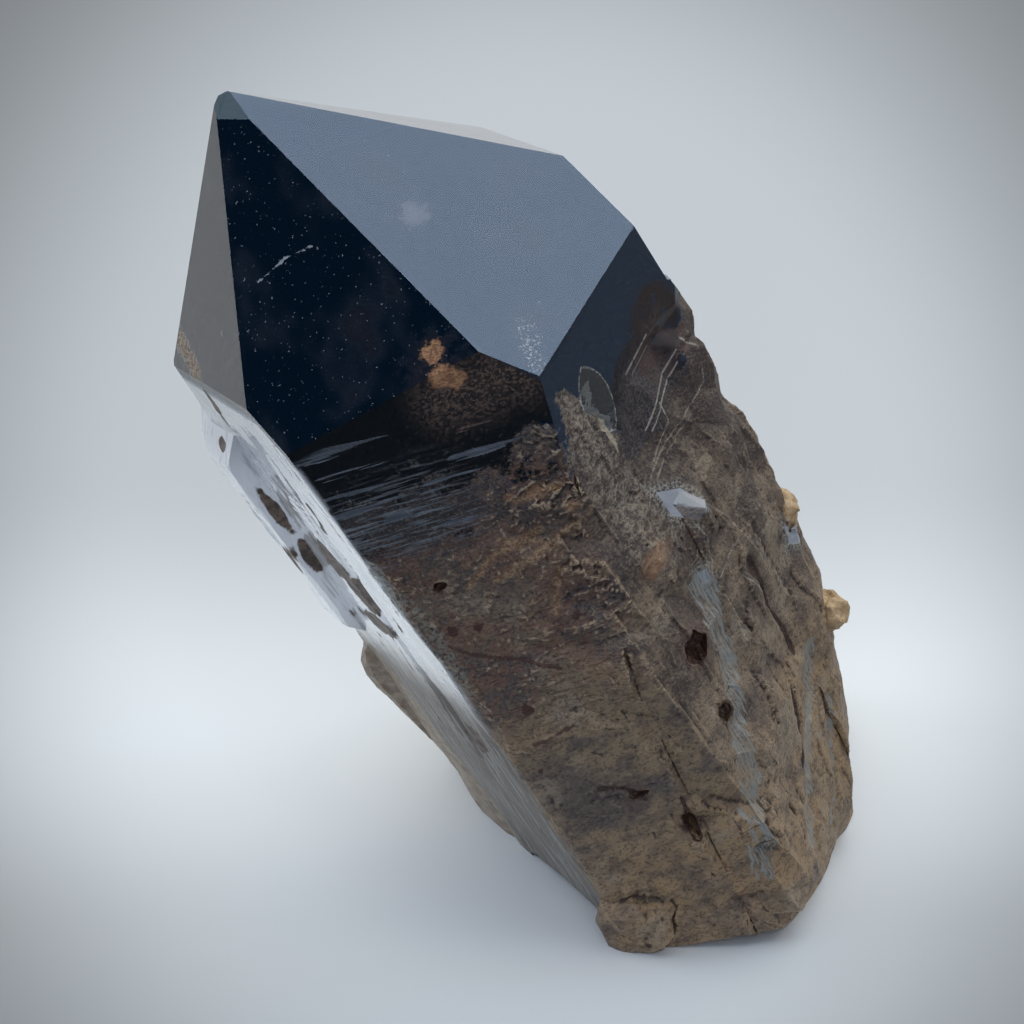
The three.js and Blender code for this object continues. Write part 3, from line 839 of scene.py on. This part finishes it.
    def left_colour(self):
        """The left face: pearly, partly painted reflection and lighter higher up, with brown patches, and
        fibrous lower down.
        """
        point, level, patches = self.point, self.level, self.patches
        blobs = point.shift((5, 3, 7)).stretch((9, 4.5, 9)).cloud(3, 0.58)
        brown = (blobs - 0.05 * level.rise(-20, -45)).rise(0.66, 0.69)
        for centre, halves in LEFT_PATCHES:
            away = point.shift(-Vector(centre)).stretch((5, *halves)).distance((0, 0, 0))
            brown = brown.over((away + 1.6 * (blobs - 0.5) + 0.12 * self.blot).rise(1.0, 0.85))
        left_plane = self.wire.point(point.dot((0, 1, 0)), level, 0)
        clean = (side_distance(left_plane, CLEAN_CORNER) + 3 * (blobs - 0.5)).rise(0, 0.5)
        brown = brown * (1 - clean)
        fibres = point.stretch((3, 0.55, 9)).cloud(2, 0.65)
        low = level.rise(-18, -32) * (1 - clean)
        # painted reflection: the pale pearl, lighter higher up, partly stands in for the bright floor that
        # this face mirrors
        colour = (low * 0.9).mix(level.rise(12, 6).mix(PEARL_AND_PAINTED_REFLECTION, BRIGHT_PEARL_AND_PAINTED_REFLECTION), LOW_FIBRE)
        dark_fibres = (fibres + 0.3 * low).rise(0.56, 0.66) * (1 - clean) * (0.35 + 0.5 * low)
        colour = dark_fibres.mix(colour, DARK_FIBRE)
        bright_fibres = fibres.rise(0.48, 0.38) * low * 0.6
        colour = bright_fibres.mix(colour, BRIGHT_FIBRE)
        colour = brown.mix(colour, patches.rise(0.4, 0.6).mix(*LEFT_BROWN_PAIR))
        rim = (point.dot((0, -1, -0.2)) + 2 * (patches - 0.5)).rise(23, 26) * level.rise(-24, -29)
        colour = (rim * 0.9).mix(colour, patches.rise(0.3, 0.7).mix(*RIM_PAIR))
        frost = (point.near(*LEFT_FROST_LINE) + self.blot).rise(2.4, 1.0)
        colour = (frost * 0.8).mix(colour, self.grit.rise(0.4, 0.6).mix(*LEFT_FROST_PAIR))
        self.polish = (1 - brown) * (1 - rim) * (1 - frost) * (1 - 0.9 * low)
        return colour


# the clean pyramid: clear, with a smudge, a scratch, a bruised corner and a few specks on it
pyramid = Surface("smoky_quartz")
point, grit, blot = pyramid.point, pyramid.grit, pyramid.blot
specks = point.shift((4, 4, 4)).stretch((0.45, 0.45, 0.45)).cloud(1, 0.9).rise(0.70, 0.76) * 0.35
scratch = (line_distance(point, [SCRATCH]) + 0.35 * blot).rise(0.14, 0.0) * 0.6
smudge = (point.distance(SMUDGE) + blot).rise(3.0, 0.6) * 0.22
bruise = point.near(*BRUISE).rise(3.4, 0.2)
sparkle = point.shift((8, 1, 5)).stretch((0.33, 0.33, 0.33)).cloud(1, 0.8)
bruise = (0.22 * bruise + sparkle).rise(0.76, 0.84) * bruise.rise(0, 0.25) * 0.75
veil = point.shift((3, 9, 14)).stretch((9, 9, 14)).cloud(2, 0.6).rise(0.45, 0.8) * 0.05
tan_patch = (point.near(*TAN_PATCH) + 0.7 * blot).rise(1.9, 1.2)
tan_patch = tan_patch.over((point.distance(TAN_SPECK) + 0.2 * blot).rise(0.5, 0.3))
tan = pyramid.tan_blots()
haze = point.distance(HAZE).rise(6.5, 1.5) * pyramid.patches.rise(0.35, 0.65) * 0.08
whitish = specks.over(scratch).over(smudge).over(bruise).over(veil)
coat = veil.over(haze).rise(0.02, 0.03).mix(WHITE_DUST, VEIL_BROWN)
coat = whitish.rise(0.06, 0.1).mix(coat, WHITE_DUST)
coat = tan_patch.mix(coat, grit.rise(0.4, 0.6).mix(*TAN_PATCH_PAIR))
coat = tan.rise(0, 0.15).mix(coat, pyramid.tan_colour())
cover = whitish.over(tan_patch).over(tan).over(haze)
clear = pyramid.clear_shader(PYRAMID_ROUGHNESS)
dusty = pyramid.rough_shader(coat, DUST_ROUGHNESS, grit)
pyramid.finish(pyramid.wire.add("MixShader", {}, {0: cover, 1: clear, 2: dusty}))

# the upper flanks: dark and glassy, with rough streaks, dust, and the crust's ragged start
# to the left they meet the left face, and have that face's colours too
for name, meets_left in (("smoky_quartz_flank", False), ("smoky_quartz_corner", True)):
    flank = Surface(name)
    patches, grit, right_plane = flank.patches, flank.grit, flank.right_plane
    depth = flank.wire.attribute("depth")
    right = flank.wire.attribute("right")
    left = flank.wire.attribute("left") if meets_left else 0
    crust = flank.wire.attribute("crust")
    ragged = 1.3 * (patches - 0.5) + 0.8 * (grit - 0.5)
    crusted = (crust + 4 * crust * (1 - crust) * ragged).rise(0.30, 0.66)
    coat = flank.crust_colour(("front", "right"))
    streaks = None
    for begin, end, height, half in STREAKS:
        taper = flank.across.rise(end, begin + 2) * flank.across.rise(begin, begin + 1.5)
        drift = flank.slope_level - height + 1.1 * (flank.lines - 0.5)
        thickness = (half + 1.6 * (flank.lines - 0.5)) * taper
        streak = (thickness - abs(drift)).rise(0, 0.12) * taper.rise(0.02, 0.1)
        streaks = streak if streaks is None else streaks.over(streak)
    on_front = (1 - right) * depth.rise(0.5, 1.0) * (1 - left)
    fine_lines = flank.lines.rise(0.50, 0.55) * flank.lined * depth.rise(2.5, 6)
    lined = streaks.over(0.85 * fine_lines) * on_front
    flecks = grit.rise(0.60, 0.70) * depth.rise(0.5, 3) * (0.3 + 0.3 * right)
    speckled = (grit + 0.5 * patches).rise(0.66, 0.84)
    dust = (flank.point.near(*DUSTY_EDGE) / 7).rise(1.0, 0.1) * (0.35 + 0.65 * speckled)
    dust = dust * (1 - right) * 0.85
    coat = (streaks * (1 - right)).mix(coat, flank.lines.rise(0.45, 0.7).mix(*STREAK_PAIR))
    lens = None
    for centre, radius in LENS:
        inside = radius - right_plane.distance((*centre, 0))
        lens = inside if lens is None else lens.under(inside)
    lens_line = abs(lens + 0.05 * flank.blot).rise(0.22, 0.04) * right * grit.rise(0.35, 0.6) * 0.75
    blue_haze = right * (0.22 + 0.2 * grit) * (1 - crusted)
    shade = right_plane.distance(SHADE).rise(10, 5) * right * 0.85
    tint = right_plane.distance(TINT).rise(8, 2) * patches.rise(0.36, 0.55) * right * 0.55
    sliver = (side_distance(right_plane, SLIVER) + 0.25 * flank.blot).rise(-0.1, 0.5) * right
    hair = flank.hairlines(UPPER_HAIRLINES) * right * 0.8
    cover = crusted.over(lined).over(left).over(flecks)
    for mask, colour in (
        (flecks * (1 - crusted) * (1 - lined), right.mix(*FLECK_PAIR)),
        (dust, grit.rise(0.4, 0.65).mix(*DUST_PAIR)),
        (blue_haze, HAZE_BLUE),
        (shade, grit.rise(0.42, 0.62).mix(*SHADE_PAIR)),
        (tint, TINT_BROWN),
        (lens.rise(0.0, 0.2) * right * 0.28, LENS_GREY),
        (lens_line, LENS_LINE_GREY),
        (hair, HAIR_GREY),
        (sliver, SLIVER_TAN),
        (flank.tan_blots(), flank.tan_colour()),
    ):
        coat = mask.rise(0, 0.15).mix(coat, colour)
        cover = cover.over(mask)
    if meets_left:
        coat = left.mix(coat, flank.left_colour())
    roughness = (0.40 + 0.25 * grit) * (1 - 0.6 * flank.soft)
    dusty = flank.rough_shader(coat, roughness, grit * (1 - 0.8 * left))
    clear = flank.clear_shader(FLANK_ROUGHNESS)
    flank.finish_crusted(flank.wire.add("MixShader", {}, {0: cover, 1: clear, 2: dusty}))

# the left face
left_face = Surface("smoky_quartz_left")
coat = left_face.left_colour()
polish = left_face.polish
bumps = left_face.grit * (1 - 0.95 * polish)
left_face.finish_crusted(left_face.rough_shader(coat, 0.5 - 0.3 * polish, bumps, polish))

# the crust, once for each set of marks
for marks in crust_marks:
    crust = Surface("_".join(("smoky_quartz_crust", *marks)))
    coat = crust.crust_colour(marks)
    roughness = (0.42 + 0.25 * crust.grit) * (1 - 0.6 * crust.soft)
    crust.finish_crusted(crust.rough_shader(coat, roughness, crust.grit * (1 - 0.9 * crust.soft)))
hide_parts("smoky_quartz_crystal")
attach(quartz, "root")

# The feldspar: two tan grains of potash feldspar that sit in pockets in the quartz's right edge.
# They are dull, blocky and a little weathered.
GRAIN_EDGE = 0.35 * MM
HIGHEST_LUMP = 0.35
FELDSPAR_BROWN = (0.36, 0.235, 0.115)
FELDSPAR_TAN = (0.62, 0.45, 0.26)
FELDSPAR_DARK = (0.20, 0.13, 0.07)


def feldspar_material():
    material, wire = new_material("feldspar")
    place = wire.add("TexCoord", {}, {}, "Object")
    cloud = place.stretch((1.6 * MM, 1.6 * MM, 1.2 * MM)).cloud(5, 0.6)
    grit = place.stretch((0.3 * MM, 0.3 * MM, 0.3 * MM)).cloud(3, 0.6)
    colour = cloud.rise(0.35, 0.65).mix(FELDSPAR_BROWN, FELDSPAR_TAN)
    colour = (grit.rise(0.45, 0.35) * 0.5).mix(colour, FELDSPAR_DARK)
    relief = {"Strength": 0.6, "Distance": 0.3 * MM, "Height": cloud + 0.4 * grit}
    bump = wire.add("Bump", {}, relief, "Normal")
    surface = wire.add(
        "BsdfPrincipled", {}, {"Base Color": colour, "Roughness": 0.6 + 0.2 * grit, "Normal": bump}
    )
    wire.add("OutputMaterial", {}, {"Surface": surface})
    return material


feldspar = feldspar_material()
for grain_name in ("feldspar_nub", "feldspar_grain"):
    grain_mesh = merged_copy(grain_name)
    split_long_edges(grain_mesh, lambda middle: GRAIN_EDGE)
    grain_mesh.normal_update()
    lifts = []
    for vert in grain_mesh.verts:
        spot = vert.co / MM
        height = 0.9 * chipped(spot, (2.6, 2.6, 2.2), 2) + 0.12 * chipped(spot, (0.9, 0.9, 0.9), 6)
        lifts.append((vert, vert.normal * min(HIGHEST_LUMP, height) * MM))
    for vert, lift in lifts:
        vert.co += lift
    for face in grain_mesh.faces:
        face.smooth = True
    for edge in grain_mesh.edges:
        edge.smooth = edge.calc_face_angle(0) < SHARP_TURN
    grain_data = bpy.data.meshes.new(grain_name + "_stone")
    grain_mesh.to_mesh(grain_data)
    grain_mesh.free()
    grain = bpy.data.objects.new(grain_name + "_stone", grain_data)
    bpy.context.scene.collection.objects.link(grain)
    grain.data.materials.append(feldspar)
    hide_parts(grain_name)
    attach(grain, "root")

# The floor: a plain pale sheet with painted light: its colour is brightest round the crystal and falls off
# to the sides, and painted shade darkens it in front and far to the right.
FLOOR_SIZE = 3.0
SHEET_WHITE = (0.885, 0.945, 0.985)
PAINTED_FAR_GREY = (0.66, 0.68, 0.70)
PAINTED_SHADE_BLUE = (0.06, 0.085, 0.12)
# the painted pool of light narrows towards this place in front of the crystal
PAINTED_POOL_POINT = 0.614
PAINTED_POOL_MIDDLE = Vector((-0.002, 0.0955))
floor_mesh = bmesh.new()
bmesh.ops.create_grid(floor_mesh, x_segments=1, y_segments=1, size=FLOOR_SIZE)
floor_data = bpy.data.meshes.new("floor")
floor_mesh.to_mesh(floor_data)
floor_mesh.free()
ground = bpy.data.objects.new("floor", floor_data)
bpy.context.scene.collection.objects.link(ground)
sheet, wire = new_material("pale_sheet_with_painted_light")
place = wire.add("TexCoord", {}, {}, "Object")
sideways = place.dot((1, 0, 0))
back = place.dot((0, 1, 0))
# how far a place is from the middle of the painted pool of light, as a share of the pool there
spread = back + PAINTED_POOL_POINT
aside = (sideways - PAINTED_POOL_MIDDLE.x) * 8.47 / spread
ahead = (PAINTED_POOL_MIDDLE.y - back) * 3.55 / spread
# painted light: the sheet's colour is brightest in the pool, falls off away from it, and is grey beyond it
painted_falloff = wire.point(aside, ahead, 0).distance((0, 0, 0)).rise(0.7, 1.5)
painted_light_to_front = 0.44 * back.rise(0.115, 0.005) - 0.1 * back.rise(0.0, -0.03)
painted_light = 0.75 + painted_light_to_front + 0.04 * back.rise(0.2, 0.36)
painted_light = painted_light * (1 + 0.055 * aside) * (1 - 0.66 * painted_falloff)
pale = (painted_light / 1.3).mix((0, 0, 0), SHEET_WHITE)
beyond = aside.rise(-1.2, -1.5).over(back.rise(0.36, 0.42))
pale = beyond.mix(pale, PAINTED_FAR_GREY)
# painted shade: dark blue-grey in front of the crystal and far to the right
near_edge = back.rise(-0.13, -0.058)
right_edge = sideways.rise(0.45, 0.16)
pale = (near_edge * right_edge).mix(PAINTED_SHADE_BLUE, pale)
sheet_surface = wire.add("BsdfPrincipled", {}, {"Base Color": pale, "Roughness": 0.7, "IOR": 1.3})
wire.add("OutputMaterial", {}, {"Surface": sheet_surface})
ground.data.materials.append(sheet)

# The light: a cool window that the big pyramid face mirrors, a smaller one for the facet at the
# tip, a soft bright ceiling with a dim blue-green room to the left, and a weak lamp in front.
def panel(name, spot, target, size, watts, colour):
    light = bpy.data.lights.new(name, "AREA")
    light.shape = "SQUARE"
    light.size = size
    light.energy = watts
    light.color = colour
    lamp = bpy.data.objects.new(name, light)
    lamp.location = spot
    lamp.rotation_euler = (Vector(target) - Vector(spot)).to_track_quat("-Z", "Y").to_euler()
    bpy.context.scene.collection.objects.link(lamp)


panel("window", (0.35, 0.14, 1.01), (0, 0, 0.09), 0.24, 0.63, (0.34, 0.59, 1.0))
panel("small_window", (-0.67, -0.40, 0.78), (-0.03, -0.02, 0.1), 0.20, 0.28, (0.54, 0.80, 1.0))
panel("front", (0.10, -0.93, 0.52), (0, 0, 0.05), 0.5, 2.3, (1.0, 0.93, 0.86))
panel("left", (-1.0, 0.10, 0.55), (0, 0, 0.03), 0.7, 2.8, (1.0, 0.98, 0.96))
world = bpy.data.worlds.new("room")
bpy.context.scene.world = world
world.use_nodes = True
world.node_tree.nodes.clear()
wire = Wire(world.node_tree)
direction = wire.add("TexCoord", {}, {}, "Generated")
CEILING = Vector((0.16, 0.52, 0.84))
glow = direction.dot(CEILING.normalized()).rise(0.1, 0.95).mix((0.030, 0.110, 0.27), (1.45, 1.42, 1.34))
background = wire.add("Background", {}, {"Color": glow, "Strength": 1.0})
wire.add("OutputWorld", {}, {"Surface": background})

# The camera: as the photograph was taken, from in front and above.
CAMERA_TILT = radians(26)
CAMERA_DISTANCE = 0.4978
PICTURE_CENTRE = CRYSTAL_ORIGIN + Vector((4.03, -30.94, -1.04)) * MM
camera = bpy.data.objects.new("camera", bpy.data.cameras.new("camera"))
camera.data.lens = 140
camera.data.sensor_width = 36
camera.data.clip_start = 0.01
away_from_picture = Vector((0, -cos(CAMERA_TILT), sin(CAMERA_TILT)))
camera.location = PICTURE_CENTRE + CAMERA_DISTANCE * away_from_picture
camera.rotation_euler = (pi / 2 - CAMERA_TILT, 0, 0)
bpy.context.scene.collection.objects.link(camera)
bpy.context.scene.camera = camera
bpy.context.scene.view_settings.view_transform = "Standard"
